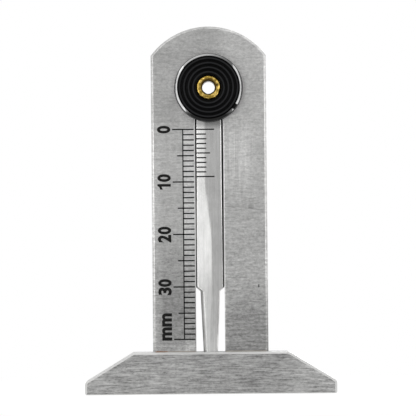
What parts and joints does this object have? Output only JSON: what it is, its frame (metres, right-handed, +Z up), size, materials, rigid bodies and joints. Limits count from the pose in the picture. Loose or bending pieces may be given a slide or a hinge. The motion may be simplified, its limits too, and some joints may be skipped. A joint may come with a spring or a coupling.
{
  "type": "tire tread depth gauge",
  "caption": "Flat steel tread depth gauge: T-shaped foot, millimetre scale beside a slot, and a sliding tapered probe blade with a vernier, moved by a ringed thumb knob on a brass eyelet.",
  "frame": {"origin": "middle of the foot's flat underside, the measuring face; the probe tip is flush with it at zero", "axes": "+Z up along the plate, away from the measuring face; +X to the right as the scale is read; the scale faces -Y"},
  "size_m": [0.048, 0.0067, 0.07],
  "materials": {
    "plate_steel": "fine straight brushing across the plate",
    "foot_steel": "coarser straight brushing along the foot",
    "blade_steel": "ground, satin",
    "braze_metal": "dull filler metal",
    "mark_paint": "thin black paint",
    "knob_plastic": "moulded, glossy",
    "disc_plastic": "moulded, semi-gloss",
    "eyelet_brass": "bright, rolled",
    "spring_steel": "tempered",
    "washer_steel": "zinc plated"
  },
  "bodies": {
    "gauge_frame": {"scale_plate": "plate_steel", "foot_front_cheek": "foot_steel", "foot_rear_cheek": "foot_steel", "braze_seam_front": "braze_metal", "braze_seam_rear": "braze_metal", "main_scale_marks": "mark_paint"},
    "slider": {"probe_blade": "blade_steel", "vernier_marks": "mark_paint", "thumb_knob": "knob_plastic", "brass_eyelet": "eyelet_brass", "rear_disc": "disc_plastic", "friction_spring": "spring_steel", "clinch_washer": "washer_steel"}
  },
  "joints": [
    {"name": "probe_slide", "type": "slide", "parent": "gauge_frame", "child": "slider", "axis": [0, 0, -1], "range_m": [0, 0.0433]}
  ]
}
